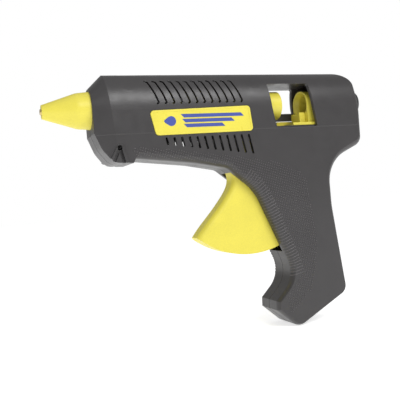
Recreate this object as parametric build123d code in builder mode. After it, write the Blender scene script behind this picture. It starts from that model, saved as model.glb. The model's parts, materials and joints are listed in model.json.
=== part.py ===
"""Hot-melt glue gun: two moulded shells around a heating chamber, a stick feed and a pull trigger.

Frame: the stick axis is the X axis, the muzzle points to -X and the handle hangs towards -Z.
The origin is the mouth of the stick guide, at the rear. Millimetres.
"""

import os
from math import cos, radians, sin, tan

from build123d import *

os.makedirs("parts", exist_ok=True)

# Stick and feed
bore_r = 6.1
entry_r = 6.5
sleeve_r = 8.4
sleeve_rear_x = -54.0

# Casing
half_width = 13.8
handle_half_width = 12.0
wall = 2.3
dome_z = -2.0
roof_z = 18.95
crease_z = -14.7
crease_step = 0.2
edge_r = 5.0
seam_chamfer = 0.3
fillet_end_x = -143.0
foot_rear_x = -146.6
front_x = -166.3
nose_x = -156.9
nose_tilt_deg = 5.0
nose_half_width = 11.4
nose_roof_z = 11.4

# Boot, nozzle and chamber
boot_r = 10.15
boot_hole_r = 10.3
boot_tip_x = -191.0
nozzle_tip_x = -191.7
chamber_r = 8.0
chamber_front_x = -160.0
chamber_rear_x = -126.0
stub_r = 6.9

# Trigger: it swings about a pin, and its fork drives the feed link
pivot_x, pivot_z = -80.0, -36.0
pivot_pin_r = 2.0
trigger_sweep_r = 49.7
trigger_half_width = 6.5
pull_deg = 26.0
arm_lean_deg = pull_deg / 2
drive_z = -16.0
drive_pin_r = 1.5
drive_x = pivot_x + (drive_z - pivot_z) * tan(radians(arm_lean_deg))
running_gap = 0.25

# Carriage
carriage_front_x = -41.2
ring_front_x = -37.5
carriage_rear_x = -27.5
floor_z = -13.2
link_half_width = 1.5

# Window and vents
window_width = 27.0
ceiling_z = 11.3
vent_pitch = 4.45
vent_count = 12
vent_width = 0.95
lower_vent_width = 1.3

# Fasteners, as (x, z) of each axis along Y
low_screws = [(-140.0, -22.5), (-110.0, -26.0), (-13.0, -23.3),
              (-33.5, -72.0), (-59.0, -114.5), (-29.5, -106.5)]
top_screws = [(-146.0, 12.8), (-72.0, 12.8), (-24.0, 12.8)]
boss_r = 3.2
screw_r = 1.25
head_r = 2.8
head_h = 2.0
low_head_y = 8.0
top_head_y = 4.6

# Clearances and places inside the casing
ring_rib_r = 9.0
boot_flange_r = 11.2
guide_r = 8.0
guide_nose_r = 7.3
guide_flange_r = 9.2
head_boss_r = 4.3
badge_floor_y = 13.0
badge_thickness = 1.1
badge_recess = 0.2
socket_xz = (-153.9, -21.7)
socket_r = 1.3
socket_floor_y = 11.9
ridge_y = badge_floor_y + badge_thickness
spring_post_xz = (-9.5, drive_z)
spring_pin_xz = (-27.0, drive_z)
gripper_xz = (-30.5, -10.2)
rivets = [(-41.0, -16.2), (-34.5, -16.2)]
carriage_bore_r = 6.25
valve_bore_r = 3.3
ball_r = 3.0
ball_x = -169.85
hub_r = 9.0
bush_r = 5.3
lead_r = 0.9
terminal_screw_x = (-45.5, -38.5)

# Handle end
cord_dir = Vector(0.447, 0, -0.894)
cord_mouth = Vector(-38.8, 0, -122.4)
cord_bore_r = 3.4


def block(x0, x1, y0, y1, z0, z1, mode=Mode.ADD):
    """Adds or cuts a box between two corners."""
    with Locations(((x0 + x1) / 2, (y0 + y1) / 2, (z0 + z1) / 2)):
        Box(x1 - x0, y1 - y0, z1 - z0, mode=mode)


def rod(x, z, radius, y0, y1, mode=Mode.ADD):
    """Adds or cuts a round bar along Y at (x, z)."""
    with Locations((x, (y0 + y1) / 2, z)):
        Cylinder(radius, y1 - y0, rotation=(90, 0, 0), mode=mode)


def barrel(x0, x1, radius, y=0, z=0, mode=Mode.ADD):
    """Adds or cuts a round bar along X."""
    with Locations(((x0 + x1) / 2, y, z)):
        Cylinder(radius, x1 - x0, rotation=(0, 90, 0), mode=mode)


def trigger_point(degrees):
    """A point on the trigger's lower edge, an arc about its pivot."""
    return (pivot_x + trigger_sweep_r * cos(radians(degrees)), pivot_z + trigger_sweep_r * sin(radians(degrees)))


def finish(part, name):
    """Labels a finished piece and writes it."""
    part.label = name
    export_step(part, f"parts/{name}.step")


# ---- Outline of the casing, seen from its left side: each corner as (x, z, radius) ----
outline = [
    (front_x, 11.4, 0),
    (-158.5, 18.8, 0),
    (-8.0, 18.8, 12.0),
    (-3.0, -1.5, 40.0),
    (-3.3, -25.3, 6.5),
    (-27.4, -35.8, 20.0),
    (-27.3, -61.8, 60.0),
    (-21.6, -113.6, 6.5),
    (-55.8, -131.2, 6.5),
    (-68.9, -119.5, 0),
    (-68.7, -114.2, 0),
    (-55.0, -100.7, 16.0),
    (-76.4, -49.5, 30.0),
    (-93.0, -35.7, 6.0),
    (-112.0, -31.8, 60.0),
    (-145.6, -27.6, 0),
    (-147.0, -30.1, 0),
    (-157.3, -29.4, 6.5),
    (-162.8, -22.4, 12.0),
    (front_x, -13.6, 0),
]

with BuildSketch(Plane.XZ) as side_view:
    with BuildLine():
        FilletPolyline(*[(x, z) for x, z, _ in outline], radius=[r for _, _, r in outline], close=True)
    make_face()

with BuildSketch(Plane.XZ) as inner_view:
    add(side_view.sketch)
    offset(amount=-wall, kind=Kind.INTERSECTION, mode=Mode.REPLACE)

with BuildSketch(Plane.XZ) as core_view:
    add(side_view.sketch)
    offset(amount=-wall - 1.6, kind=Kind.INTERSECTION, mode=Mode.REPLACE)


def cross_section(plane, side, start_z, roof):
    """The section across the stick: a half ellipse on straight sides, which step in at the crease."""
    handle = side - half_width + handle_half_width
    with BuildSketch(plane) as section:
        with BuildLine():
            EllipticalCenterArc((0, start_z), side, roof - start_z, arc_size=180)
            Polyline((-side, start_z), (-side, crease_z), (crease_step - side, crease_z - crease_step),
                     (-handle, -140), (handle, -140), (side - crease_step, crease_z - crease_step),
                     (side, crease_z), (side, start_z))
        make_face()
    return section.sketch


nose_lean = radians(nose_tilt_deg)
nose_plane = Plane((nose_x, 0, 0), x_dir=(0, 1, 0), z_dir=(cos(nose_lean), 0, sin(nose_lean)))

# The outer form along the stick: a straight run, and a nose that draws in towards the boot
with BuildPart() as nose_form:
    add(cross_section(Plane.YZ.offset(front_x), nose_half_width, 0, nose_roof_z))
    add(cross_section(nose_plane, half_width, dome_z, roof_z))
    loft(ruled=True)

with BuildPart() as envelope:
    add(cross_section(nose_plane, half_width, dome_z, roof_z))
    extrude(amount=180, dir=(1, 0, 0))
    add(nose_form.part)

# ---- One half of the casing, on the -Y side of the split plane ----
with BuildPart() as outer_half:
    add(side_view.sketch)
    extrude(amount=half_width, dir=(0, -1, 0))
    rim = outer_half.faces().sort_by(Axis.Y)[0].edges()
    fillet(rim.filter_by(lambda edge: edge.center().X > fillet_end_x), radius=edge_r)
    chamfer(outer_half.faces().sort_by(Axis.Y)[-1].edges(), length=seam_chamfer)
    # The foot and the nose keep square edges
    with BuildSketch(Plane.XZ.offset(seam_chamfer)):
        add(side_view.sketch)
        with Locations((foot_rear_x - 20, 0)):
            Rectangle(40, 80, mode=Mode.INTERSECT)
    extrude(amount=half_width - seam_chamfer, dir=(0, -1, 0))
    add(envelope.part, mode=Mode.INTERSECT)

with BuildPart() as hollow_half:
    add(inner_view.sketch)
    extrude(amount=half_width - edge_r, dir=(0, -1, 0))
    add(core_view.sketch)
    extrude(amount=half_width - wall, dir=(0, -1, 0))
    add(cross_section(Plane.YZ.offset(-200), half_width - wall, dome_z, roof_z - wall))
    extrude(amount=220, dir=(1, 0, 0), mode=Mode.INTERSECT)

# Cutters that reach through one wall
with BuildSketch(Plane.XZ.offset(6)) as window:
    with BuildLine():
        left = [(-64.6, 11.3), (-63.5, -1.5), (-61.5, -14.5)]
        right = [(x + window_width, z) for x, z in reversed(left)]
        FilletPolyline(*left, *right, radius=[1.2, 20, 1.2, 1.2, 20, 1.2], close=True)
    make_face()

with BuildSketch(Plane.XZ.offset(5)) as upper_vents:
    for i in range(vent_count):
        with BuildLine():
            shift = i * vent_pitch
            FilletPolyline((-136.6 + shift, 13.6), (-135.3 + shift, 13.2), (-132.4 + shift, 6.6),
                           (-130.7 + shift, 1.4), (-131.5 + shift, 0.9), radius=[0.6, 14, 0.5])
            offset(amount=vent_width / 2, side=Side.BOTH)
        make_face()

with BuildSketch(Plane.XZ.offset(6)) as lower_vents:
    for i in range(vent_count):
        top_x, drop = -128.0 + i * 4.41, 2.9 + 0.65 * i
        with BuildLine():
            Line((top_x, -18.0), (top_x + 0.2 * drop, -18.0 - drop))
            offset(amount=lower_vent_width / 2, side=Side.BOTH)
        make_face()

with BuildSketch(Plane.XZ) as badge_outline:
    with BuildLine():
        FilletPolyline((-136.6, -2.7), (-77.6, -1.2), (-76.3, -15.8), (-133.8, -16.4), radius=2.2, close=True)
    make_face()

with BuildSketch(Plane.XZ) as trigger_slot:
    with BuildLine():
        Polyline((-89.9, -45), (-89.9, -30.5), (-66, -30.5), (-55, -86.2), (-72, -86.2), (-112, -58), close=True)
    make_face()

# ---- Ribs, rails and bosses inside one half ----
with BuildPart() as ribs_half:
    # Front bulkhead, which grips the boot, and the ribs each side of the two support rings
    block(front_x, -155.7, -14, 0, -14, 19)
    block(-152.3, -150.7, -14, 0, -14, 19)
    block(-131.8, -130.2, -14, 0, -10.6, 19)
    block(-126.8, -125.2, -14, 0, -10.6, 19)
    barrel(-158, -120, ring_rib_r, mode=Mode.SUBTRACT)
    barrel(-170, -157.6, boot_hole_r, mode=Mode.SUBTRACT)
    barrel(-160.2, -157.6, boot_flange_r + 0.2, mode=Mode.SUBTRACT)
    # Saddles of the inlet sleeve
    for x in (-98.8, -67.6):
        block(x, x + 1.6, -14, 0, -12.5, 19)
    barrel(-105, -60, sleeve_r + 0.05, mode=Mode.SUBTRACT)
    # Rear bulkhead and the rib in front of the stick guide's flange
    block(-11.8, -10.2, -14, 0, -13, 19)
    block(-6.8, 5, -14, 0, -10.5, 10.5)
    barrel(-20, -10, guide_r + 0.2, mode=Mode.SUBTRACT)
    barrel(-7, 6, guide_nose_r + 0.2, mode=Mode.SUBTRACT)
    # Ceiling of the window, and the ledge that the carriage slides on
    block(-66.5, -34, -12.8, 0, ceiling_z, ceiling_z + 1.2)
    block(-66, -22, -12, -8, floor_z - 3.3, floor_z - running_gap)
    # Bosses
    for x, z in low_screws:
        rod(x, z, boss_r, -12.5, 0)
        rod(x, z, head_boss_r, -12.5, -6)
    for x, z in top_screws:
        rod(x, z, boss_r, -12.5, 0)
        rod(x, z, head_boss_r, -12.5, -3)
    rod(*socket_xz, 3.4, -12.5, 0)
    rod(pivot_x, pivot_z, 4.0, -12.5, -7.0)
    rod(*spring_post_xz, 1.5, -12.5, 0)
    add(outer_half.part, mode=Mode.INTERSECT)

# Raised edge round the stand-wire socket
with BuildPart() as socket_ridge:
    with BuildSketch(Plane.XZ.offset(10)):
        with BuildLine():
            FilletPolyline((-160.0, -30.8), (-153.3, -19.2), (-149.8, -32.0), radius=1.2)
            offset(amount=0.9, side=Side.BOTH)
        make_face()
        add(side_view.sketch, mode=Mode.INTERSECT)
    extrude(amount=ridge_y - 10, dir=(0, -1, 0))

with BuildPart() as shell_half:
    add(outer_half.part)
    add(socket_ridge.part)
    add(hollow_half.part, mode=Mode.SUBTRACT)
    add(window.sketch)
    extrude(amount=12, dir=(0, -1, 0), mode=Mode.SUBTRACT)
    add(ribs_half.part)
    for vents in (upper_vents, lower_vents):
        add(vents.sketch)
        extrude(amount=12, dir=(0, -1, 0), mode=Mode.SUBTRACT)
    barrel(-170, front_x + 8, boot_hole_r, mode=Mode.SUBTRACT)
    barrel(-8, 6, guide_nose_r + 0.2, mode=Mode.SUBTRACT)
    barrel(-10.2, -6.8, guide_flange_r + 0.2, mode=Mode.SUBTRACT)
    with BuildSketch(Plane.XZ.offset(badge_floor_y)):
        add(badge_outline.sketch)
    extrude(amount=3, dir=(0, -1, 0), mode=Mode.SUBTRACT)
    add(trigger_slot.sketch)
    extrude(amount=trigger_half_width + 0.5, dir=(0, -1, 0), mode=Mode.SUBTRACT)
    rod(pivot_x, pivot_z, pivot_pin_r + 0.03, -10.2, 0, mode=Mode.SUBTRACT)
    # Stand-wire socket: a hole right through, with two rest grooves fanning out below it
    rod(*socket_xz, socket_r, -15, 0, mode=Mode.SUBTRACT)
    for foot_x, foot_z in ((-158.2, -30.6), (-151.8, -31.0)):
        with BuildSketch(Plane.XZ.offset(socket_floor_y)):
            with BuildLine():
                Line(socket_xz, (foot_x, foot_z))
                offset(amount=0.85, side=Side.BOTH)
            make_face()
        extrude(amount=3, dir=(0, -1, 0), mode=Mode.SUBTRACT)
    with BuildSketch(Plane(cord_mouth - cord_dir * 10, x_dir=(0, 1, 0), z_dir=cord_dir)):
        Circle(bush_r + 0.1)
    extrude(amount=14, mode=Mode.SUBTRACT)

clamp_centre = cord_mouth - cord_dir * 17
clamp_posts = [clamp_centre + Vector(0.894, 0, 0.447) * side for side in (-7, 7)]

with BuildPart() as housing_left:
    add(shell_half.part)
    for post in clamp_posts:
        rod(post.X, post.Z, 2.6, -12, 0)
        rod(post.X, post.Z, 1.3, -8, 0, mode=Mode.SUBTRACT)
    for x, z in low_screws:
        rod(x, z, screw_r + 0.05, -10, 0, mode=Mode.SUBTRACT)
    for x, z in top_screws:
        rod(x, z, screw_r + 0.05, -8.2, 0, mode=Mode.SUBTRACT)
finish(housing_left.part, "housing_left")

with BuildPart() as housing_right:
    add(shell_half.part.mirror(Plane.XZ))
    for screws, head_y in ((low_screws, low_head_y), (top_screws, top_head_y)):
        for x, z in screws:
            rod(x, z, 1.7, 0, head_y, mode=Mode.SUBTRACT)
            rod(x, z, head_r + 0.3, head_y, 15, mode=Mode.SUBTRACT)
    # Stiffening rail, seen through the window
    block(-66, -34.5, 9.2, 12, -8.0, -3.5)
finish(housing_right.part, "housing_right")

with BuildPart() as housing_screws:
    for screws, head_y, tip_y in ((low_screws, low_head_y, -9), (top_screws, top_head_y, -7.5)):
        for x, z in screws:
            rod(x, z, screw_r, tip_y, head_y)
            rod(x, z, head_r, head_y, head_y + head_h)
            block(x - 1.6, x + 1.6, head_y + 1, head_y + head_h, z - 0.35, z + 0.35, mode=Mode.SUBTRACT)
            block(x - 0.35, x + 0.35, head_y + 1, head_y + head_h, z - 1.6, z + 1.6, mode=Mode.SUBTRACT)
finish(housing_screws.part, "housing_screws")

with BuildPart() as badge_left:
    with BuildSketch(Plane.XZ.offset(badge_floor_y)):
        add(badge_outline.sketch)
        offset(amount=-0.15, mode=Mode.REPLACE)
    extrude(amount=badge_thickness, dir=(0, -1, 0))
    fillet(badge_left.faces().sort_by(Axis.Y)[0].edges(), radius=0.35)
    with BuildSketch(Plane.XZ.offset(badge_floor_y + badge_thickness - badge_recess)):
        add(badge_outline.sketch)
        offset(amount=-1.3, mode=Mode.REPLACE)
    extrude(amount=1, dir=(0, -1, 0), mode=Mode.SUBTRACT)
finish(badge_left.part, "badge_left")

with BuildPart() as badge_right:
    add(badge_left.part.mirror(Plane.XZ))
finish(badge_right.part, "badge_right")


# ---- Hot end ----
def turned(*profile):
    """A part turned about the stick axis from (x, radius) corners."""
    with BuildPart() as piece:
        with BuildSketch(Plane.XZ):
            with BuildLine():
                Polyline(*profile, close=True)
            make_face()
        revolve(axis=Axis.X)
    return piece.part


with BuildPart() as nozzle_boot:
    add(turned((-157.9, 8.3), (-157.9, boot_flange_r), (-160, boot_flange_r), (-160, boot_r), (front_x, boot_r),
               (-167.5, 10.0), (-172.2, 9.6), (-173.4, 9.4), (boot_tip_x, 3.7), (boot_tip_x, 1.95),
               (-172.5, 8.2), (-171, 8.3)))
finish(nozzle_boot.part, "nozzle_boot")

with BuildPart() as nozzle:
    add(turned((chamber_front_x, 5.55), (chamber_front_x, 8.0), (-172, 8.0), (nozzle_tip_x, 1.5),
               (nozzle_tip_x, 0.9), (-184, 0.9), (-182, valve_bore_r), (-168, valve_bore_r), (-168, 5.55)))
finish(nozzle.part, "nozzle")

with BuildPart() as valve_ball:
    with Locations((ball_x, 0, 0)):
        Sphere(ball_r)
finish(valve_ball.part, "valve_ball")

with BuildPart() as valve_spring:
    with BuildLine() as coil:
        Helix(1.4, 8.4, 2.2, center=(-181.4, 0, 0), direction=(1, 0, 0))
    with BuildSketch(Plane(coil.line @ 0, z_dir=coil.line % 0)):
        Circle(0.25)
    sweep(is_frenet=True)
finish(valve_spring.part, "valve_spring")

with BuildPart() as heating_chamber:
    add(turned((-168, 2.4), (-168, 5.5), (chamber_front_x, 5.5), (chamber_front_x, chamber_r),
               (chamber_rear_x, chamber_r), (chamber_rear_x, stub_r), (-114, stub_r), (-114, bore_r),
               (-150, bore_r), (-160, 4.0), (-163, 2.4)))
    block(-150, -132.4, -7.5, 7.5, -16.8, -5.5)
    barrel(-150, -120, bore_r, mode=Mode.SUBTRACT)
    block(-149.5, -132.4, -5.3, 5.3, -15.0, -10.4, mode=Mode.SUBTRACT)
finish(heating_chamber.part, "heating_chamber")

with BuildPart() as heater_film:
    block(-149.2, -132.6, -5.1, 5.1, -14.8, -10.6)
    block(-149.2, -132.6, -4.7, 4.7, -14.45, -10.95, mode=Mode.SUBTRACT)
finish(heater_film.part, "heater_film")

with BuildPart() as ptc_element:
    block(-148.8, -133, -4.5, 4.5, -13.9, -11.5)
finish(ptc_element.part, "ptc_element")

for name, z, side in (("electrode_upper", -11.5, 1), ("electrode_lower", -14.3, -1)):
    with BuildPart() as electrode:
        block(-148.8, -133, -4.4, 4.4, z, z + 0.4)
        block(-134, -124.6, 3.0 * side - 1.4, 3.0 * side + 1.4, z, z + 0.4)
    finish(electrode.part, name)

for name, x in (("support_ring_front", -155.5), ("support_ring_rear", -130.0)):
    with BuildPart() as ring:
        barrel(x, x + 3, 10.8)
        barrel(x, x + 3, chamber_r + 0.05, mode=Mode.SUBTRACT)
    finish(ring.part, name)

with BuildPart() as inlet_sleeve:
    add(turned((-125, sleeve_r), (sleeve_rear_x, sleeve_r), (sleeve_rear_x, 7.2), (-57, bore_r), (-113.5, bore_r),
               (-113.5, stub_r + 0.05), (-125, stub_r + 0.05)))
finish(inlet_sleeve.part, "inlet_sleeve")

with BuildPart() as sleeve_clamp:
    barrel(-121, -117, 9.6)
    block(-121, -117, -1.5, 1.5, -13.2, -8.8)
    barrel(-122, -116, sleeve_r + 0.05, mode=Mode.SUBTRACT)
    block(-122, -116, -0.3, 0.3, -14, -8, mode=Mode.SUBTRACT)
finish(sleeve_clamp.part, "sleeve_clamp")

with BuildPart() as stick_guide:
    add(turned((0, entry_r), (0, guide_nose_r), (-7, guide_nose_r), (-7, guide_flange_r), (-10, guide_flange_r),
               (-10, guide_r), (-14, guide_r), (-14, entry_r)))
finish(stick_guide.part, "stick_guide")

# ---- Feed ----
with BuildPart() as feed_carriage:
    barrel(ring_front_x, carriage_rear_x, sleeve_r)
    block(ring_front_x, carriage_rear_x, -sleeve_r, sleeve_r, floor_z, 0)
    block(-49, -24.5, -10.9, 10.9, floor_z, floor_z + 1.6)
    block(-49, -27, 9.3, 10.9, floor_z, -8.5)
    block(carriage_front_x, -27, -5, 5, -12, -5)
    block(-45, -24.5, -3.5, 3.5, -18.6, floor_z)
    block(-46, -24, -link_half_width - 0.05, link_half_width + 0.05, -19, -14.2, mode=Mode.SUBTRACT)
    barrel(-42, -20, carriage_bore_r, mode=Mode.SUBTRACT)
    add(turned((ring_front_x, 0), (ring_front_x, 7.7), (ring_front_x + 3, carriage_bore_r), (ring_front_x + 3, 0)),
        mode=Mode.SUBTRACT)
    block(-40, -26.9, -2.1, 2.1, -12.6, -5.5, mode=Mode.SUBTRACT)
    rod(*gripper_xz, 1.03, -6, 6, mode=Mode.SUBTRACT)
    rod(*spring_pin_xz, 0.92, -4, 4, mode=Mode.SUBTRACT)
    for rivet in rivets:
        rod(*rivet, 1.03, -4, 4, mode=Mode.SUBTRACT)
finish(feed_carriage.part, "feed_carriage")

with BuildPart() as feed_link:
    block(drive_x, -31.5, -link_half_width, link_half_width, -18.2, -14.3)
    rod(drive_x, drive_z, 3.0, -link_half_width, link_half_width)
    rod(drive_x, drive_z, drive_pin_r + 0.02, -2, 2, mode=Mode.SUBTRACT)
    for rivet in rivets:
        rod(*rivet, 1.03, -2, 2, mode=Mode.SUBTRACT)
finish(feed_link.part, "feed_link")

with BuildPart() as drive_pin:
    rod(drive_x, drive_z, drive_pin_r, -5.6, 5.6)
finish(drive_pin.part, "drive_pin")

with BuildPart() as link_rivets:
    for rivet in rivets:
        rod(*rivet, 1.0, -3.6, 3.6)
finish(link_rivets.part, "link_rivets")

with BuildPart() as spring_pin:
    rod(*spring_pin_xz, 0.9, -3.5, 3.5)
finish(spring_pin.part, "spring_pin")

with BuildPart() as gripper:
    with BuildSketch(Plane.XZ.offset(-1.8)):
        with BuildLine():
            Polyline((-30.5, -12.0), (-38.3, -9.4), (-38.6, -6.7), (-36.9, -7.7), (-30.5, -8.4), close=True)
        make_face()
        with Locations(gripper_xz):
            Circle(1.9)
            Circle(1.02, mode=Mode.SUBTRACT)
    extrude(amount=3.6, dir=(0, -1, 0))
finish(gripper.part, "gripper")

with BuildPart() as gripper_pin:
    rod(*gripper_xz, 1.0, -5, 5)
finish(gripper_pin.part, "gripper_pin")

with BuildPart() as gripper_spring:
    with BuildLine() as coil:
        Helix(0.75, 2.0, 1.1, center=(-36.0, 0, -12.37))
    with BuildSketch(Plane(coil.line @ 0, z_dir=coil.line % 0)):
        Circle(0.2)
    sweep(is_frenet=True)
finish(gripper_spring.part, "gripper_spring")

coil_front_x, coil_rear_x, coil_r, wire_r = -23.2, -13.2, 2.0, 0.4
with BuildPart() as return_spring:
    with BuildLine() as coil:
        Helix(1.0, coil_rear_x - coil_front_x, coil_r, center=(coil_front_x, 0, drive_z), direction=(1, 0, 0))
    with BuildSketch(Plane(coil.line @ 0, z_dir=coil.line % 0)):
        Circle(wire_r)
    sweep(is_frenet=True)
    # Each end runs to the axis, then along it to its loop
    for (x, z), ring_r, end in ((spring_pin_xz, 1.35, coil.line @ 0), (spring_post_xz, 2.0, coil.line @ 1)):
        with Locations((x, 0, z)):
            Torus(ring_r, wire_r, rotation=(90, 0, 0))
        outward = 1 if end.X > x else -1
        barrel(*sorted((x + outward * ring_r, end.X)), wire_r, z=z)
        with Locations((end.X, 0, z)):
            Sphere(wire_r)
        with Locations(Plane((end.X, 0, z), z_dir=end - Vector(end.X, 0, z))):
            Cylinder(wire_r, coil_r, align=(Align.CENTER, Align.CENTER, Align.MIN))
finish(return_spring.part, "return_spring")

# ---- Trigger ----
arm_dir = Vector(sin(radians(arm_lean_deg)), 0, cos(radians(arm_lean_deg)))
pivot = Vector(pivot_x, 0, pivot_z)


def arm_bar(start, end, width, half_y):
    """A bar with round ends along the trigger's arm, between two distances from the pivot."""
    with BuildPart() as bar:
        with BuildSketch(Plane.XZ.offset(-half_y)):
            with BuildLine():
                near, far = pivot + arm_dir * start, pivot + arm_dir * end
                Line((near.X, near.Z), (far.X, far.Z))
                offset(amount=width / 2, side=Side.BOTH)
            make_face()
        extrude(amount=2 * half_y, dir=(0, -1, 0))
    return bar.part


with BuildSketch(Plane.XZ.offset(-trigger_half_width)) as trigger_view:
    with BuildLine():
        bottom_front, bottom_rear = trigger_point(229.1), trigger_point(294.5)
        ThreePointArc(bottom_front, trigger_point(262), bottom_rear)
        Line(bottom_rear, (-71.2, -38.2))
        ThreePointArc((-71.2, -38.2), (pivot_x, pivot_z + hub_r), (-88.9, -37.6))
        Spline((-88.9, -37.6), (-88.2, -42.5), (-93.2, -51.9), (-101.4, -61.2), bottom_front)
    make_face()

with BuildPart() as trigger:
    add(trigger_view.sketch)
    extrude(amount=2 * trigger_half_width, dir=(0, -1, 0))
    front_edges = trigger.edges().filter_by(lambda edge: edge.center().X < -90 and abs(edge.center().Y) > 6)
    fillet(front_edges.filter_by(GeomType.BSPLINE), radius=3.5)
    add(arm_bar(0, 21.4, 7.0, 5.2))
    add(arm_bar(12.5, 26, 9.0, 2.2), mode=Mode.SUBTRACT)
    add(arm_bar(19.8, 26, 2 * (drive_pin_r + running_gap), 6), mode=Mode.SUBTRACT)
    rod(pivot_x, pivot_z, pivot_pin_r + 0.05, -8, 8, mode=Mode.SUBTRACT)
    # Moulded pocket, open towards the handle
    with BuildSketch(Plane.XZ.offset(-4.3)):
        with BuildLine():
            Polyline((-83, -49), (-66, -49), (-52, -81), (-92, -81), (-103, -71), close=True)
        make_face()
        with BuildSketch(mode=Mode.INTERSECT):
            with Locations((pivot_x, pivot_z)):
                Circle(trigger_sweep_r - 2.4)
    extrude(amount=8.6, dir=(0, -1, 0), mode=Mode.SUBTRACT)
finish(trigger.part, "trigger")

with BuildPart() as pivot_pin:
    rod(pivot_x, pivot_z, pivot_pin_r, -10.1, 10.1)
finish(pivot_pin.part, "pivot_pin")


# ---- Wiring and handle end ----
def lead(side, z):
    """A heater lead from its electrode tab to the terminal block, along one side of the casing."""
    with BuildPart() as wire:
        with BuildLine() as route:
            FilletPolyline((-124.6, 3.0 * side, z), (-114, 3.0 * side, z), (-104, 9.2 * side, -20),
                           (-42, 9.2 * side, -20), (-43, 9.2 * side, -70), (-42, 3.5 * side, -82),
                           (-42, 3.5 * side, -90), radius=[6, 6, 8, 8, 4])
        with BuildSketch(Plane(route.line @ 0, z_dir=route.line % 0)):
            Circle(lead_r)
        sweep(transition=Transition.RIGHT)
    return wire.part


finish(lead(1, -11.3), "lead_live")
finish(lead(-1, -14.1), "lead_neutral")

with BuildPart() as terminal_block:
    block(-49, -35, -6, 6, -99, -90)
    fillet(terminal_block.edges().filter_by(Axis.Y), radius=1.0)
    for x in terminal_screw_x:
        rod(x, -94.5, 1.9, -6.5, -2, mode=Mode.SUBTRACT)
finish(terminal_block.part, "terminal_block")

with BuildPart() as terminal_screws:
    for x in terminal_screw_x:
        rod(x, -94.5, 1.8, -5.2, -2)
        block(x - 1.8, x + 1.8, -5.4, -4.6, -94.8, -94.2, mode=Mode.SUBTRACT)
finish(terminal_screws.part, "terminal_screws")

with BuildPart() as cord_bush:
    with BuildSketch(Plane(cord_mouth - cord_dir * 0.6, x_dir=(0, 1, 0), z_dir=cord_dir)):
        Circle(bush_r)
        Circle(cord_bore_r, mode=Mode.SUBTRACT)
    extrude(amount=-9)
    with BuildSketch(Plane(cord_mouth - cord_dir * (wall + 0.3), x_dir=(0, 1, 0), z_dir=cord_dir)):
        Circle(bush_r + 1.8)
        Circle(cord_bore_r, mode=Mode.SUBTRACT)
    extrude(amount=-1.6)
finish(cord_bush.part, "cord_bush")

clamp_plane = Plane(clamp_centre, x_dir=(0.894, 0, 0.447), z_dir=(0, 1, 0))
with BuildPart() as cord_clamp:
    with BuildSketch(clamp_plane):
        SlotOverall(20, 5.6)
        with Locations((-7, 0), (7, 0)):
            Circle(1.5, mode=Mode.SUBTRACT)
    extrude(amount=2.5)
finish(cord_clamp.part, "cord_clamp")

with BuildPart() as cord_clamp_screws:
    for post in clamp_posts:
        rod(post.X, post.Z, 1.25, -7, 2.5)
        rod(post.X, post.Z, 2.4, 2.5, 4.3)
        block(post.X - 1.6, post.X + 1.6, 3.6, 4.4, post.Z - 0.3, post.Z + 0.3, mode=Mode.SUBTRACT)
finish(cord_clamp_screws.part, "cord_clamp_screws")
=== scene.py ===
"""Looks of a hot-melt glue gun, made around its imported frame.

It adds the finishes, the grip's texture, the badge's print and the studio.
"""

import json
from math import cos, pi, radians, sin

import bmesh
import bpy
from bpy.props import FloatProperty, FloatVectorProperty, IntProperty, PointerProperty
from mathutils import Matrix, Vector


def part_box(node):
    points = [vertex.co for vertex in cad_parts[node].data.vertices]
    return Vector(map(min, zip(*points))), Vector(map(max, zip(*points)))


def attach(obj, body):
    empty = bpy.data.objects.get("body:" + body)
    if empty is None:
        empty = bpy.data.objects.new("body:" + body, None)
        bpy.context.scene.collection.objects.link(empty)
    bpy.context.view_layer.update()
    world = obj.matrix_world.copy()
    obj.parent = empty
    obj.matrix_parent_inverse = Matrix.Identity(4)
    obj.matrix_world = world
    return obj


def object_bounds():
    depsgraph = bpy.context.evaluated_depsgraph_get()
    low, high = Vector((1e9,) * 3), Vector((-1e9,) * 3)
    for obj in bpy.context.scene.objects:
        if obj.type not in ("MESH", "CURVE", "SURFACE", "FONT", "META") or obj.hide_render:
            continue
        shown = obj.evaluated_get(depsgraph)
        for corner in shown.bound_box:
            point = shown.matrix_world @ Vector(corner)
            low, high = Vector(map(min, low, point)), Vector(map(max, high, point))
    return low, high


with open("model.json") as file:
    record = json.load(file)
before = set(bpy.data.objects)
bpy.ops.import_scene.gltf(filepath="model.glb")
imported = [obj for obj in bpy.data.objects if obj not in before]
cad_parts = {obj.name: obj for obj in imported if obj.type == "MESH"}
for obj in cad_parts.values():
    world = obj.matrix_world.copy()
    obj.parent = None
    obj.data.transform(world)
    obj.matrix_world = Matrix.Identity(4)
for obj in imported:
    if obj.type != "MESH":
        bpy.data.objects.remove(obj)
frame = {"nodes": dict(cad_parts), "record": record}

bl_info = {
    "name": "Glue gun looks",
    "version": (1, 0, 0),
    "blender": (4, 5, 0),
    "location": "3D view > Sidebar > Glue gun",
    "description": "Finishes a hot-melt glue gun: casing, grip texture, badge print, metal parts and studio",
    "category": "Object",
}

MM = 0.001
SIDES = (("left", -1), ("right", 1))
cad_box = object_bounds()
badge_low, badge_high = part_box("badge_left")

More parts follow.
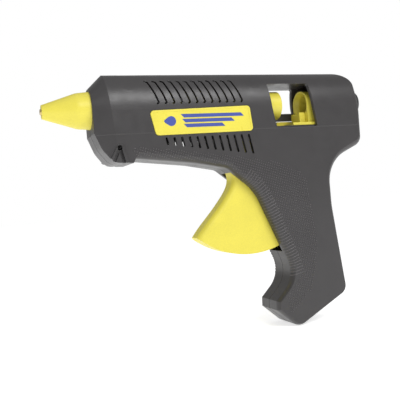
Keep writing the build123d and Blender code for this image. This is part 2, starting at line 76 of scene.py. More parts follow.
# The textured part of the casing's side, as (x, z) corners in millimetres.
# Down the handle its front edge follows the line that the edge ribs curl round.
GRIP_OUTLINE = [
    (-147.2, -21.3), (-121.2, -24.6), (-86.1, -29.7), (-61.4, -34.4), (-48.9, -40.4), (-44.8, -45.9),
    (-43.6, -54.8), (-40.7, -81.4), (-43.0, -98.8), (-46.5, -109.5), (-61.0, -122.5), (-63.5, -113.0),
    (-54.0, -102.0), (-53.0, -94.0), (-67.0, -60.0), (-73.5, -47.0), (-92.0, -38.0), (-112.0, -34.0),
    (-145.0, -30.0),
]
DOT_PITCH, DOT_RADIUS, DOT_HEIGHT, DOT_SLANT = 1.4 * MM, 0.42 * MM, 0.24 * MM, radians(18)
DOT_ROWS = 141
DOT_HIGHLIGHT_TONE = 2.6  # times the casing's colour: a painted highlight for the raised dots catching light, so that the dots show
DOT_GRID_MIDDLE = (-95 * MM, 24 * MM, -70 * MM)  # the square of dots before it is dropped, for the +Y side
REGION_PLANE = 20 * MM  # the grip region's plane, between the square of dots and the casing

# The line that the edge ribs curl round, inside the front edge of the handle, as (x, z) in millimetres
EDGE_PATH = [
    (-80.6, -38.6), (-75.6, -43.0), (-70.9, -49.8), (-65.2, -62.6), (-58.2, -80.4), (-53.6, -92.0),
    (-52.0, -99.0),
]
EDGE_PATH_DEPTH = 6.0 * MM  # how far the line lies in from the casing's side
RIB_COUNT, RIB_RADIUS, RIB_SWEEP = 40, 0.27 * MM, radians(100)
RIB_HIGHLIGHT_TONE = 2.4  # times the casing's colour: a painted highlight for the raised ribs catching light

DROP_STEPS = 32
BADGE_FACE_SINK = 0.2 * MM  # how far in from the badge's outermost point the print's face is reckoned

# The stage, in metres; the camera and both lights look at AIM
AIM = Vector((-0.107, 0, -0.0524))
KEY_OFFSET, KEY_SIZE = Vector((0.13, -0.56, 0.46)), (0.50, 0.20)
TOP_OFFSET, TOP_SIZE = Vector((-0.05, -0.12, 0.60)), (0.50, 0.50)
CAMERA_DISTANCE, CAMERA_BEARING = 0.342, radians(20)
FLOOR_RADIUS, FLOOR_GAP, FLOOR_GLOW = 4.0, 0.4 * MM, 0.66


# ---- Sizes and colours that a user would change ----
class CasingSettings(bpy.types.PropertyGroup):
    colour: FloatVectorProperty(
        name="Colour", description="Colour of the moulded casing", subtype="COLOR", size=3,
        default=(0.043, 0.0405, 0.0415), min=0, max=1)
    roughness: FloatProperty(
        name="Roughness", description="Roughness of the satin casing", default=0.34, min=0, max=1)
    grain: FloatProperty(
        name="Grain", description="Size of the spark-eroded grain", default=0.45 * MM, unit="LENGTH")
    soft_edge: FloatProperty(
        name="Soft edge", description="Radius of the mould's edges", default=0.35 * MM, unit="LENGTH")


class GripSettings(bpy.types.PropertyGroup):
    pitch: FloatProperty(
        name="Pitch", description="Distance between raised dots", default=DOT_PITCH, unit="LENGTH")
    dot_radius: FloatProperty(
        name="Dot radius", description="Radius of a dot at its foot", default=DOT_RADIUS, unit="LENGTH")
    dot_height: FloatProperty(
        name="Dot height", description="How far a dot stands out", default=DOT_HEIGHT, unit="LENGTH")
    slant: FloatProperty(
        name="Slant", description="Turn of the rows of dots", default=DOT_SLANT, subtype="ANGLE")


class EdgeRibSettings(bpy.types.PropertyGroup):
    count: IntProperty(
        name="Count", description="Number of ribs down the front edge of the handle",
        default=RIB_COUNT, min=2)
    radius: FloatProperty(
        name="Radius", description="Half the width of a rib", default=RIB_RADIUS, unit="LENGTH")
    sweep: FloatProperty(
        name="Sweep", description="How far a rib curls round the edge", default=RIB_SWEEP, subtype="ANGLE")


class YellowSettings(bpy.types.PropertyGroup):
    colour: FloatVectorProperty(
        name="Colour", description="Colour of the trigger, the boot and the feed", subtype="COLOR", size=3,
        default=(0.80, 0.70, 0.085), min=0, max=1)
    print_colour: FloatVectorProperty(
        name="Print", description="Colour of the badge's printed motif", subtype="COLOR", size=3,
        default=(0.055, 0.085, 0.36), min=0, max=1)
    print_height: FloatProperty(
        name="Print height", description="Thickness of the printed motif", default=0.08 * MM, unit="LENGTH")


class StageSettings(bpy.types.PropertyGroup):
    lens: FloatProperty(
        name="Lens", description="Focal length on a 36 mm sensor", default=54.0, subtype="DISTANCE_CAMERA")
    roll: FloatProperty(
        name="Roll", description="Clockwise roll of the camera", default=radians(4.7), subtype="ANGLE")
    key_power: FloatProperty(
        name="Key light", description="Power of the large soft light", default=2.6, unit="POWER")
    top_power: FloatProperty(
        name="Top light", description="Power of the overhead light", default=0.25, unit="POWER")
    surround: FloatProperty(
        name="Surround", description="Strength of the white surround", default=0.40, min=0)


# ---- Node helpers ----
def add_node(tree, kind, inputs=None, **settings):
    """Adds a node, sets its properties, and fills or links its inputs by name or number."""
    made = tree.nodes.new(kind)
    for name, value in settings.items():
        setattr(made, name, value)
    for key, value in (inputs or {}).items():
        if isinstance(value, bpy.types.NodeSocket):
            tree.links.new(value, made.inputs[key])
        else:
            made.inputs[key].default_value = value
    return made


def new_material(name):
    """A material with only a principled shader; returns it with its tree and its shader."""
    material = bpy.data.materials.new(name)
    material.use_nodes = True
    tree = material.node_tree
    tree.nodes.clear()
    shader = add_node(tree, "ShaderNodeBsdfPrincipled")
    add_node(tree, "ShaderNodeOutputMaterial", {"Surface": shader.outputs[0]})
    return material, tree, shader


def noise(tree, place, size, detail=2.0):
    """A noise whose features are about that size, in metres."""
    made = add_node(tree, "ShaderNodeTexNoise", {"Vector": place, "Scale": 1 / size, "Detail": detail})
    return made.outputs[0]


def spread(tree, value, low, high):
    """A noise's middle values spread from low to high."""
    made = add_node(tree, "ShaderNodeMapRange", {0: value, 1: 0.3, 2: 0.7, 3: low, 4: high})
    return made.outputs[0]


def shaded(tree, colour, value):
    """The colour times a value."""
    scaled = add_node(tree, "ShaderNodeVectorMath", {0: colour, "Scale": value}, operation="SCALE")
    return scaled.outputs[0]


def moulded(name, colour, roughness, grain, bump, soft_edge, edge_wear_and_highlight=0.0, metal=False):
    """Moulded plastic, rubber or cast metal, with fine grain, cloudy gloss and soft edges, painted lighter
    partly as wear and partly as a painted edge highlight.
    """
    material, tree, shader = new_material(name)
    place = add_node(tree, "ShaderNodeTexCoord").outputs["Object"]
    tone = spread(tree, noise(tree, place, 18 * MM, 3.0), 0.95, 1.05)
    fine = spread(tree, noise(tree, place, grain, 1.0), 0.97, 1.03)
    tone = add_node(tree, "ShaderNodeMath", {0: tone, 1: fine}, operation="MULTIPLY").outputs[0]
    round_normal = add_node(tree, "ShaderNodeBevel", {"Radius": soft_edge}, samples=6).outputs[0]
    # The edges are painted lighter: partly wear, partly a painted highlight where light would catch them.
    if edge_wear_and_highlight:
        flat_normal = add_node(tree, "ShaderNodeNewGeometry").outputs["Normal"]
        turn = add_node(tree, "ShaderNodeVectorMath", {
            0: round_normal, 1: flat_normal}, operation="DOT_PRODUCT")
        edge = add_node(tree, "ShaderNodeMapRange", {
            0: turn.outputs["Value"], 1: 1.0, 2: 0.8, 3: 1.0, 4: 1 + edge_wear_and_highlight})
        tone = add_node(tree, "ShaderNodeMath", {
            0: tone, 1: edge.outputs[0]}, operation="MULTIPLY").outputs[0]
    tree.links.new(shaded(tree, colour, tone), shader.inputs["Base Color"])
    gloss = spread(tree, noise(tree, place, 6 * MM, 3.0), roughness - 0.04, roughness + 0.05)
    tree.links.new(gloss, shader.inputs["Roughness"])
    bumped = add_node(tree, "ShaderNodeBump", {
        "Strength": 0.6, "Distance": bump, "Height": noise(tree, place, grain, 2.0), "Normal": round_normal})
    tree.links.new(bumped.outputs[0], shader.inputs["Normal"])
    shader.inputs["Metallic"].default_value = 1.0 if metal else 0.0
    return material


def turned_metal(name, colour, roughness, axis):
    """Turned or drawn metal: fine rings about an axis through the origin, and a little tarnish."""
    material, tree, shader = new_material(name)
    place = add_node(tree, "ShaderNodeTexCoord").outputs["Object"]
    stretch = Vector((1, 1, 1)) * 150
    stretch[axis] = 9000
    rings = add_node(tree, "ShaderNodeVectorMath", {0: place, 1: stretch}, operation="MULTIPLY").outputs[0]
    lines = add_node(tree, "ShaderNodeTexNoise", {"Vector": rings, "Scale": 1.0, "Detail": 2.0}).outputs[0]
    tarnish = spread(tree, noise(tree, place, 3 * MM, 3.0), 0.82, 1.04)
    tree.links.new(shaded(tree, colour, tarnish), shader.inputs["Base Color"])
    tree.links.new(spread(tree, lines, roughness - 0.07, roughness + 0.1), shader.inputs["Roughness"])
    bumped = add_node(tree, "ShaderNodeBump", {"Strength": 0.25, "Distance": 0.01 * MM, "Height": lines})
    tree.links.new(bumped.outputs[0], shader.inputs["Normal"])
    shader.inputs["Metallic"].default_value = 1.0
    return material


def braided(name, colour):
    """The glass-fibre braid of a heater lead, two sets of strands crossing."""
    material, tree, shader = new_material(name)
    place = add_node(tree, "ShaderNodeTexCoord").outputs["Object"]
    strands = []
    for lean in (45, -45):
        turned = add_node(tree, "ShaderNodeMapping", {"Vector": place, "Rotation": (0, radians(lean), 0)})
        wave = add_node(tree, "ShaderNodeTexWave", {
            "Vector": turned.outputs[0], "Scale": 650.0, "Distortion": 0.4})
        strands.append(wave.outputs["Fac"])
    weave = add_node(tree, "ShaderNodeMath", {0: strands[0], 1: strands[1]}, operation="MAXIMUM").outputs[0]
    tone = add_node(tree, "ShaderNodeMapRange", {0: weave, 1: 0.0, 2: 1.0, 3: 0.72, 4: 1.04}).outputs[0]
    tree.links.new(shaded(tree, colour, tone), shader.inputs["Base Color"])
    bumped = add_node(tree, "ShaderNodeBump", {"Strength": 0.6, "Distance": 0.12 * MM, "Height": weave})
    tree.links.new(bumped.outputs[0], shader.inputs["Normal"])
    shader.inputs["Roughness"].default_value = 0.75
    return material


def laminate(name, colour):
    """Phenolic laminate, whose fibres show as fine streaks."""
    material, tree, shader = new_material(name)
    place = add_node(tree, "ShaderNodeTexCoord").outputs["Object"]
    stretched = add_node(tree, "ShaderNodeVectorMath", {
        0: place, 1: (4000, 300, 300)}, operation="MULTIPLY")
    streaks = add_node(tree, "ShaderNodeTexNoise", {
        "Vector": stretched.outputs[0], "Scale": 1.0, "Detail": 3.0})
    tone = spread(tree, streaks.outputs[0], 0.7, 1.2)
    tree.links.new(shaded(tree, colour, tone), shader.inputs["Base Color"])
    bumped = add_node(tree, "ShaderNodeBump", {
        "Strength": 0.3, "Distance": 0.05 * MM, "Height": streaks.outputs[0]})
    tree.links.new(bumped.outputs[0], shader.inputs["Normal"])
    shader.inputs["Roughness"].default_value = 0.5
    return material


def nodes_in_slot(slot):
    """The CAD nodes whose finish is that slot."""
    return [part["node"] for part in frame["record"]["subparts"] if part["material_slot"] == slot]


def finish_slot(slot, material):
    """Gives every CAD node of a slot its finished material."""
    for name in nodes_in_slot(slot):
        for holder in frame["nodes"][name].material_slots:
            holder.material = material


# ---- Mesh helpers ----
def new_object(name, mesh):
    """An object at the origin, linked to the scene."""
    made = bpy.data.objects.new(name, mesh)
    bpy.context.scene.collection.objects.link(made)
    return made


def flat_region(name, corners, y):
    """One flat face in a plane of constant Y, from (x, z) corners in millimetres."""
    mesh = bpy.data.meshes.new(name)
    mesh.from_pydata([(x * MM, y, z * MM) for x, z in corners], [], [range(len(corners))])
    return new_object(name, mesh)


def run_nodes(source, tree, values, name):
    """Runs a geometry tree on a source object and keeps the result as a plain mesh."""
    modifier = source.modifiers.new("nodes", "NODES")
    modifier.node_group = tree
    for item in tree.interface.items_tree:
        if item.in_out == "INPUT" and item.name in values:
            modifier[item.identifier] = values[item.name]
    bpy.context.view_layer.update()
    depsgraph = bpy.context.evaluated_depsgraph_get()
    mesh = bpy.data.meshes.new_from_object(source.evaluated_get(depsgraph))
    source.modifiers.clear()
    bpy.data.objects.remove(source)
    mesh.name = name
    return new_object(name, mesh)


def prisms(name, outlines, y_from, y_to):
    """Closed prisms along Y from (x, z) outlines in metres."""
    built = bmesh.new()
    for outline in outlines:
        face = built.faces.new([built.verts.new((x, y_from, z)) for x, z in outline])
        moved = bmesh.ops.extrude_face_region(built, geom=[face])["geom"]
        for vert in (item for item in moved if isinstance(item, bmesh.types.BMVert)):
            vert.co.y = y_to
    bmesh.ops.recalc_face_normals(built, faces=built.faces)
    mesh = bpy.data.meshes.new(name)
    built.to_mesh(mesh)
    built.free()
    return new_object(name, mesh)


def geometry_tree(name, inputs):
    """An empty geometry tree with a geometry input and output and named inputs with their defaults."""
    tree = bpy.data.node_groups.new(name, "GeometryNodeTree")
    tree.interface.new_socket("Geometry", in_out="INPUT", socket_type="NodeSocketGeometry")
    for label, kind, default in inputs:
        socket = tree.interface.new_socket(label, in_out="INPUT", socket_type=kind)
        if default is not None:
            socket.default_value = default
    tree.interface.new_socket("Geometry", in_out="OUTPUT", socket_type="NodeSocketGeometry")
    given = add_node(tree, "NodeGroupInput").outputs
    return tree, given


def dot_tree():
    """Rows of small raised dots, dropped along Y onto a casing where they pass through the region's face."""
    tree, given = geometry_tree("grip_dots", [
        ("Casing", "NodeSocketObject", None),
        ("Pitch", "NodeSocketFloat", DOT_PITCH),
        ("Dot radius", "NodeSocketFloat", DOT_RADIUS),
        ("Dot height", "NodeSocketFloat", DOT_HEIGHT),
        ("Slant", "NodeSocketFloat", DOT_SLANT),
        ("Side", "NodeSocketFloat", -1.0),
        ("Material", "NodeSocketMaterial", None),
    ])
    region_reach, casing_reach, sink, steepest = 30 * MM, 12 * MM, 0.12 * MM, -0.3
    middle_x, middle_y, middle_z = DOT_GRID_MIDDLE
    size = add_node(tree, "ShaderNodeMath", {
        0: given["Pitch"], 1: DOT_ROWS - 1.0}, operation="MULTIPLY").outputs[0]
    grid = add_node(tree, "GeometryNodeMeshGrid", {
        "Size X": size, "Size Y": size, "Vertices X": DOT_ROWS, "Vertices Y": DOT_ROWS})
    aside = add_node(tree, "ShaderNodeMath", {0: given["Side"], 1: middle_y}, operation="MULTIPLY")
    start = add_node(tree, "ShaderNodeCombineXYZ", {0: middle_x, 1: aside.outputs[0], 2: middle_z})
    turn = add_node(tree, "ShaderNodeCombineXYZ", {0: pi / 2, 1: given["Slant"], 2: 0.0})
    upright = add_node(tree, "GeometryNodeTransform", {
        "Geometry": grid.outputs[0], "Translation": start.outputs[0], "Rotation": turn.outputs[0]})
    points = add_node(tree, "GeometryNodeMeshToPoints", {"Mesh": upright.outputs[0]})
    back = add_node(tree, "ShaderNodeMath", {0: given["Side"], 1: -1.0}, operation="MULTIPLY")
    aim = add_node(tree, "ShaderNodeCombineXYZ", {0: 0.0, 1: back.outputs[0], 2: 0.0}).outputs[0]
    region = add_node(tree, "GeometryNodeRaycast", {
        "Target Geometry": given["Geometry"], "Ray Direction": aim, "Ray Length": region_reach})
    casing = add_node(tree, "GeometryNodeObjectInfo", {"Object": given["Casing"]})
    landing = add_node(tree, "GeometryNodeRaycast", {
        "Target Geometry": casing.outputs["Geometry"], "Ray Direction": aim, "Ray Length": casing_reach})
    facing = add_node(tree, "ShaderNodeVectorMath", {
        0: landing.outputs["Hit Normal"], 1: aim}, operation="DOT_PRODUCT")
    square_on = add_node(tree, "FunctionNodeCompare", {
        0: facing.outputs["Value"], 1: steepest}, operation="LESS_THAN")
    both = add_node(tree, "FunctionNodeBooleanMath", {
        0: region.outputs["Is Hit"], 1: landing.outputs["Is Hit"]}, operation="AND")
    kept = add_node(tree, "FunctionNodeBooleanMath", {
        0: both.outputs[0], 1: square_on.outputs[0]}, operation="AND")
    missed = add_node(tree, "FunctionNodeBooleanMath", {0: kept.outputs[0]}, operation="NOT")
    left = add_node(tree, "GeometryNodeDeleteGeometry", {
        "Geometry": points.outputs[0], "Selection": missed.outputs[0]}, domain="POINT")
    held = add_node(tree, "GeometryNodeCaptureAttribute", {"Geometry": left.outputs[0]})
    held.capture_items.new("VECTOR", "Normal")
    tree.links.new(landing.outputs["Hit Normal"], held.inputs[1])
    placed = add_node(tree, "GeometryNodeSetPosition", {
        "Geometry": held.outputs[0], "Position": landing.outputs["Hit Position"]})
    depth = add_node(tree, "ShaderNodeMath", {0: given["Dot height"], 1: 2 * sink}, operation="ADD")
    top = add_node(tree, "ShaderNodeMath", {0: given["Dot radius"], 1: 0.5}, operation="MULTIPLY")
    cone = add_node(tree, "GeometryNodeMeshCone", {
        "Vertices": 6, "Radius Top": top.outputs[0], "Radius Bottom": given["Dot radius"],
        "Depth": depth.outputs[0]})
    lowered = add_node(tree, "GeometryNodeTransform", {
        "Geometry": cone.outputs[0], "Translation": (0, 0, -sink)})
    stand = add_node(tree, "FunctionNodeAlignRotationToVector", {"Vector": held.outputs[1]}, axis="Z")
    dots = add_node(tree, "GeometryNodeInstanceOnPoints", {
        "Points": placed.outputs[0], "Instance": lowered.outputs[0], "Rotation": stand.outputs[0]})
    real = add_node(tree, "GeometryNodeRealizeInstances", {0: dots.outputs[0]})
    painted = add_node(tree, "GeometryNodeSetMaterial", {
        "Geometry": real.outputs[0], "Material": given["Material"]})
    add_node(tree, "NodeGroupOutput", {0: painted.outputs[0]})
    return tree


def edge_rib_tree():
    """Fine ribs that curl round an edge, dropped onto a casing from arcs round a path inside it."""
    tree, given = geometry_tree("edge_ribs", [
        ("Casing", "NodeSocketObject", None),
        ("Count", "NodeSocketInt", RIB_COUNT),
        ("Radius", "NodeSocketFloat", RIB_RADIUS),
        ("Sweep", "NodeSocketFloat", RIB_SWEEP),
        ("Side", "NodeSocketFloat", -1.0),
        ("Material", "NodeSocketMaterial", None),
    ])
    arc_radius, overshoot, steps, sides = 11 * MM, radians(18), 9, 5
    path = add_node(tree, "GeometryNodeMeshToCurve", {"Mesh": given["Geometry"]})
    even = add_node(tree, "GeometryNodeResampleCurve", {"Curve": path.outputs[0], "Count": given["Count"]})
    centre = add_node(tree, "GeometryNodeInputPosition")
    held = add_node(tree, "GeometryNodeCaptureAttribute", {"Geometry": even.outputs[0]})
    held.capture_items.new("VECTOR", "Centre")
    tree.links.new(centre.outputs[0], held.inputs[1])
    along = add_node(tree, "GeometryNodeInputTangent")
    outward = add_node(tree, "ShaderNodeCombineXYZ", {0: 0.0, 1: given["Side"], 2: 0.0})
    stand = add_node(tree, "FunctionNodeAlignRotationToVector", {"Vector": along.outputs[0]}, axis="Z")
    turned = add_node(tree, "FunctionNodeAlignRotationToVector", {
        "Rotation": stand.outputs[0], "Vector": outward.outputs[0]}, axis="X", pivot_axis="Z")
    way = add_node(tree, "ShaderNodeMath", {0: given["Side"], 1: -1.0}, operation="MULTIPLY").outputs[0]
    start = add_node(tree, "ShaderNodeMath", {0: way, 1: -overshoot}, operation="MULTIPLY")
    sweep = add_node(tree, "ShaderNodeMath", {0: way, 1: given["Sweep"]}, operation="MULTIPLY")
    arc = add_node(tree, "GeometryNodeCurveArc", {
        "Resolution": steps, "Radius": arc_radius, "Start Angle": start.outputs[0],
        "Sweep Angle": sweep.outputs[0]})
    arcs = add_node(tree, "GeometryNodeInstanceOnPoints", {
        "Points": held.outputs[0], "Instance": arc.outputs[0], "Rotation": turned.outputs[0]})
    real = add_node(tree, "GeometryNodeRealizeInstances", {0: arcs.outputs[0]})
    place = add_node(tree, "GeometryNodeInputPosition")
    aim = add_node(tree, "ShaderNodeVectorMath", {
        0: held.outputs[1], 1: place.outputs[0]}, operation="SUBTRACT")
    casing = add_node(tree, "GeometryNodeObjectInfo", {"Object": given["Casing"]})
    landing = add_node(tree, "GeometryNodeRaycast", {
        "Target Geometry": casing.outputs["Geometry"], "Ray Direction": aim.outputs[0],
        "Ray Length": arc_radius})
    laid = add_node(tree, "GeometryNodeSetPosition", {
        "Geometry": real.outputs[0], "Position": landing.outputs["Hit Position"]})
    profile = add_node(tree, "GeometryNodeCurvePrimitiveCircle", {
        "Resolution": sides, "Radius": given["Radius"]})
    ribs = add_node(tree, "GeometryNodeCurveToMesh", {
        "Curve": laid.outputs[0], "Profile Curve": profile.outputs[0], "Fill Caps": True})
    painted = add_node(tree, "GeometryNodeSetMaterial", {
        "Geometry": ribs.outputs[0], "Material": given["Material"]})
    add_node(tree, "NodeGroupOutput", {0: painted.outputs[0]})
    return tree


# ---- Operators, one for each piece or group of like pieces ----
class GLUEGUN_OT_casing(bpy.types.Operator):
    """Gives both casing shells their satin moulded finish"""

    bl_idname = "gluegun.casing"
    bl_label = "Casing finish"

    def execute(self, context):
        look = context.scene.glue_gun_casing
        # The casing's edges are painted lighter, partly as wear and partly as a painted edge highlight.
        finish_slot("housing", moulded(
            "casing_satin", look.colour, look.roughness, look.grain, bump=0.06 * MM,
            soft_edge=look.soft_edge, edge_wear_and_highlight=0.35))
        return {"FINISHED"}


class GLUEGUN_OT_grip(bpy.types.Operator):
    """Covers the handle and the underside of the barrel with rows of fine raised dots, painted lighter than
    the casing as a painted highlight
    """

    bl_idname = "gluegun.grip"
    bl_label = "Grip dots"

    def execute(self, context):
        look, casing = context.scene.glue_gun_grip, context.scene.glue_gun_casing
        # The dots' colour is the casing's colour made lighter: a painted highlight for the raised dots
        # catching light.
        material = moulded(
            "grip_dot_painted_highlight", [c * DOT_HIGHLIGHT_TONE for c in casing.colour], casing.roughness + 0.05, casing.grain,
            bump=0.03 * MM, soft_edge=0.1 * MM)
        tree = dot_tree()
        for side, sign in SIDES:
            region = flat_region("grip_region", GRIP_OUTLINE, sign * REGION_PLANE)
            dots = run_nodes(region, tree, {
                "Casing": frame["nodes"]["housing_" + side], "Pitch": look.pitch,
                "Dot radius": look.dot_radius, "Dot height": look.dot_height, "Slant": look.slant,
                "Side": float(sign),
                "Material": material}, "grip_dots_" + side)
            if not dots.data.vertices:
                raise RuntimeError("no grip dots were made on the " + side + " side")
            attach(dots, "housing")
        return {"FINISHED"}


class GLUEGUN_OT_edge_ribs(bpy.types.Operator):
    """Adds the fine ribs that curl round the front edge of the handle, painted lighter than the casing as a
    painted highlight
    """

    bl_idname = "gluegun.edge_ribs"
    bl_label = "Edge ribs"

    def execute(self, context):
        look, casing = context.scene.glue_gun_edge_ribs, context.scene.glue_gun_casing
        # The ribs' colour is the casing's colour made lighter: a painted highlight for the raised ribs
        # catching light.
        material = moulded(
            "edge_rib_painted_highlight", [c * RIB_HIGHLIGHT_TONE for c in casing.colour], casing.roughness, casing.grain,
            bump=0.02 * MM, soft_edge=0.05 * MM)
        tree = edge_rib_tree()
        for side, sign in SIDES:
            shell_low, shell_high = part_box("housing_" + side)
            depth = max(abs(shell_low.y), abs(shell_high.y)) - EDGE_PATH_DEPTH
            mesh = bpy.data.meshes.new("edge_path")
            mesh.from_pydata([(x * MM, sign * depth, z * MM) for x, z in EDGE_PATH],
                             [(step, step + 1) for step in range(len(EDGE_PATH) - 1)], [])
            ribs = run_nodes(new_object("edge_path", mesh), tree, {
                "Casing": frame["nodes"]["housing_" + side], "Count": look.count, "Radius": look.radius,
                "Sweep": look.sweep, "Side": float(sign), "Material": material}, "edge_ribs_" + side)
            if not ribs.data.vertices:
                raise RuntimeError("no edge ribs were made on the " + side + " side")
            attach(ribs, "housing")
        return {"FINISHED"}


class GLUEGUN_OT_badge(bpy.types.Operator):
    """Finishes the two badges and prints a generic drop and three stripes on each"""

    bl_idname = "gluegun.badge"
    bl_label = "Badges"

    def execute(self, context):
        look = context.scene.glue_gun_yellow
        # The badge's edges are painted lighter, partly as wear and partly as a painted edge highlight.
        finish_slot("badge", moulded(
            "badge_gloss", look.colour, 0.3, 0.6 * MM, bump=0.01 * MM, soft_edge=0.15 * MM, edge_wear_and_highlight=0.08))
        ink = moulded(
            "badge_print", look.print_colour, 0.38, 0.3 * MM, bump=0.01 * MM, soft_edge=0.02 * MM)
        middle, half = (badge_low + badge_high) / 2, (badge_high - badge_low) / 2
        drop_x, drop_r = middle.x - 0.62 * half.x, 0.36 * half.z
        drop = []
        for step in range(DROP_STEPS):
            turn = 2 * pi * step / DROP_STEPS
            sharp = 1.0 + 0.55 * max(0.0, cos(turn)) ** 6
            drop.append((drop_x - drop_r * sharp * cos(turn), middle.z + drop_r * sin(turn)))
        stripes = []
        for row, length in ((1, 1.2), (0, 0.98), (-1, 0.76)):
            x0, z0, thick = middle.x - 0.38 * half.x, middle.z + row * 0.36 * half.z, 0.13 * half.z
            x1, lean = x0 + length * half.x, 0.12 * half.z
            shift = -row * 0.09 * half.z
            stripes.append([(x0 + shift - lean, z0 + thick), (x0 + shift + lean, z0 - thick),
                            (x1 + shift + lean, z0 - thick), (x1 + shift - lean, z0 + thick)])
        for side, sign in SIDES:
            face = sign * (abs(badge_low.y) - BADGE_FACE_SINK)
            root = sign * 0.05 * MM
            motif = prisms(
                "badge_print_" + side, [drop, *stripes], face - root, face + sign * look.print_height)
            motif.data.materials.append(ink)
            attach(motif, "housing")
        return {"FINISHED"}


class GLUEGUN_OT_yellow(bpy.types.Operator):
    """Finishes the trigger, the feed carriage, the nozzle boot and the inlet sleeve"""

    bl_idname = "gluegun.yellow"
    bl_label = "Yellow parts"

    def execute(self, context):
        look = context.scene.glue_gun_yellow
        # The yellow parts' edges are painted lighter, partly as wear and partly as a painted edge highlight.
        finish_slot("yellow_nylon", moulded(
            "yellow_nylon_satin", look.colour, 0.42, 0.7 * MM, bump=0.012 * MM, soft_edge=0.3 * MM,
            edge_wear_and_highlight=0.05))
        finish_slot("silicone", moulded(
            "yellow_silicone", look.colour, 0.4, 0.5 * MM, bump=0.015 * MM, soft_edge=0.3 * MM))
        return {"FINISHED"}


class GLUEGUN_OT_inner_parts(bpy.types.Operator):
    """Finishes the metal, ceramic, laminate, rubber and wiring parts"""

    bl_idname = "gluegun.inner_parts"
    bl_label = "Inner parts"

    def execute(self, context):
        finish_slot("steel", turned_metal("zinc_plated_steel", (0.55, 0.55, 0.56), 0.32, 1))
        finish_slot("brass_metal", turned_metal("turned_brass", (0.72, 0.55, 0.24), 0.3, 0))
        finish_slot("cast_aluminium", moulded(
            "cast_aluminium_skin", (0.62, 0.62, 0.63), 0.48, 0.8 * MM, bump=0.05 * MM, soft_edge=0.3 * MM,
            metal=True))
        # The dark nylon's edges are painted lighter, partly as wear and partly as a painted edge highlight.
        finish_slot("dark_nylon", moulded(
            "dark_nylon_satin", (0.03, 0.03, 0.031), 0.45, 0.5 * MM, bump=0.02 * MM, soft_edge=0.25 * MM,
            edge_wear_and_highlight=0.2))
        finish_slot("terminal_plastic", moulded(
            "terminal_white", (0.7, 0.7, 0.66), 0.4, 0.6 * MM, bump=0.01 * MM, soft_edge=0.2 * MM))
        finish_slot("bush_rubber", moulded(
            "bush_black", (0.02, 0.02, 0.02), 0.62, 0.4 * MM, bump=0.03 * MM, soft_edge=0.3 * MM))
        finish_slot("film", moulded(
            "polyimide_amber", (0.6, 0.28, 0.04), 0.25, 1.2 * MM, bump=0.01 * MM, soft_edge=0.05 * MM))
        finish_slot("ceramic_element", moulded(
            "fired_ceramic", (0.5, 0.5, 0.47), 0.7, 0.3 * MM, bump=0.03 * MM, soft_edge=0.15 * MM))
        finish_slot("lead_cover", braided("glass_fibre_braid", (0.72, 0.7, 0.66)))
        finish_slot("phenolic", laminate("phenolic_brown", (0.24, 0.11, 0.05)))
        return {"FINISHED"}


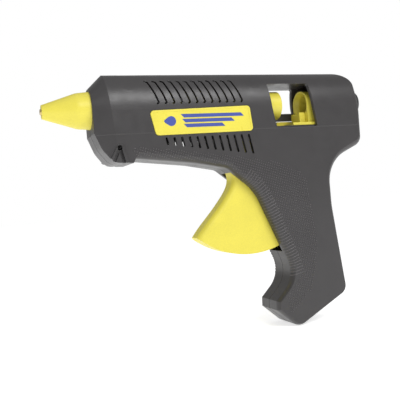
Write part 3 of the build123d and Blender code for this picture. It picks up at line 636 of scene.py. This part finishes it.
class GLUEGUN_OT_stage(bpy.types.Operator):
    """Makes the pale floor, the soft lights, the white surround and the camera"""

    bl_idname = "gluegun.stage"
    bl_label = "Studio"

    def execute(self, context):
        look = context.scene.glue_gun_stage
        self.make_floor()
        self.make_surround(context, look)
        self.make_light("key_light", KEY_OFFSET, KEY_SIZE, look.key_power)
        self.make_light("top_light", TOP_OFFSET, TOP_SIZE, look.top_power)
        self.make_camera(context, look)
        context.scene.view_settings.view_transform = "Standard"
        return {"FINISHED"}

    def make_floor(self):
        """A wide pale disc under the handle's end."""
        built = bmesh.new()
        bmesh.ops.create_circle(built, cap_ends=True, segments=96, radius=FLOOR_RADIUS)
        mesh = bpy.data.meshes.new("floor")
        built.to_mesh(mesh)
        built.free()
        mesh.transform(Matrix.Translation((0, 0, cad_box[0].z - FLOOR_GAP)))
        floor = new_object("floor", mesh)
        material, tree, shader = new_material("pale_floor")
        place = add_node(tree, "ShaderNodeTexCoord").outputs["Object"]
        tone = spread(tree, noise(tree, place, 0.2), 0.99, 1.01)
        tree.links.new(shaded(tree, (0.93, 0.93, 0.93), tone), shader.inputs["Base Color"])
        shader.inputs["Roughness"].default_value = 0.9
        shader.inputs["Specular IOR Level"].default_value = 0.1
        shader.inputs["Emission Color"].default_value = (1, 1, 1, 1)
        shader.inputs["Emission Strength"].default_value = FLOOR_GLOW
        mesh.materials.append(material)

    def make_surround(self, context, look):
        """A white surround, which lights the gun more softly than it shows."""
        world = bpy.data.worlds.new("white_surround")
        world.use_nodes = True
        tree = world.node_tree
        tree.nodes.clear()
        path = add_node(tree, "ShaderNodeLightPath").outputs["Is Camera Ray"]
        strength = add_node(tree, "ShaderNodeMapRange", {0: path, 1: 0.0, 2: 1.0, 3: look.surround, 4: 1.0})
        white = add_node(tree, "ShaderNodeBackground", {
            "Color": (1, 1, 1, 1), "Strength": strength.outputs[0]})
        add_node(tree, "ShaderNodeOutputWorld", {"Surface": white.outputs[0]})
        context.scene.world = world

    def make_light(self, name, offset, size, power):
        """A rectangular soft light that looks at the gun."""
        lamp = bpy.data.lights.new(name, "AREA")
        lamp.shape = "RECTANGLE"
        lamp.size, lamp.size_y = size
        lamp.energy = power
        made = new_object(name, lamp)
        made.location = AIM + offset
        made.rotation_euler = (-offset).to_track_quat("-Z", "Y").to_euler()

    def make_camera(self, context, look):
        """A level camera, 20 degrees round towards the muzzle and rolled a little."""
        lens = bpy.data.cameras.new("camera")
        lens.lens = look.lens
        lens.sensor_width = 36
        camera = new_object("camera", lens)
        forward = Vector((sin(CAMERA_BEARING), cos(CAMERA_BEARING), 0))
        across = forward.cross(Vector((0, 0, 1)))
        up = Vector((0, 0, cos(look.roll))) + across * sin(look.roll)
        right = forward.cross(up)
        turn = Matrix((right, up, -forward)).transposed()
        camera.matrix_world = Matrix.Translation(AIM - forward * CAMERA_DISTANCE) @ turn.to_4x4()
        context.scene.camera = camera


OPERATORS = (
    GLUEGUN_OT_stage,
    GLUEGUN_OT_casing,
    GLUEGUN_OT_grip,
    GLUEGUN_OT_edge_ribs,
    GLUEGUN_OT_badge,
    GLUEGUN_OT_yellow,
    GLUEGUN_OT_inner_parts,
)


class GLUEGUN_PT_looks(bpy.types.Panel):
    """Lists the steps that finish the glue gun"""

    bl_label = "Glue gun"
    bl_idname = "GLUEGUN_PT_looks"
    bl_space_type = "VIEW_3D"
    bl_region_type = "UI"
    bl_category = "Glue gun"

    def draw(self, context):
        for step in OPERATORS:
            self.layout.operator(step.bl_idname)
        for label in SETTINGS:
            group = getattr(context.scene, label)
            box = self.layout.box()
            for field in group.bl_rna.properties:
                if field.identifier not in ("rna_type", "name"):
                    box.prop(group, field.identifier)


SETTINGS = {
    "glue_gun_casing": CasingSettings,
    "glue_gun_grip": GripSettings,
    "glue_gun_edge_ribs": EdgeRibSettings,
    "glue_gun_yellow": YellowSettings,
    "glue_gun_stage": StageSettings,
}


def register():
    for label, group in SETTINGS.items():
        bpy.utils.register_class(group)
        setattr(bpy.types.Scene, label, PointerProperty(type=group))
    for part in (*OPERATORS, GLUEGUN_PT_looks):
        bpy.utils.register_class(part)


def unregister():
    for part in (GLUEGUN_PT_looks, *reversed(OPERATORS)):
        bpy.utils.unregister_class(part)
    for label, group in SETTINGS.items():
        delattr(bpy.types.Scene, label)
        bpy.utils.unregister_class(group)


def main():
    """Runs every step in order."""
    register()
    bpy.ops.gluegun.stage()
    bpy.ops.gluegun.casing()
    bpy.ops.gluegun.grip()
    bpy.ops.gluegun.edge_ribs()
    bpy.ops.gluegun.badge()
    bpy.ops.gluegun.yellow()
    bpy.ops.gluegun.inner_parts()


if __name__ == "__main__":
    main()
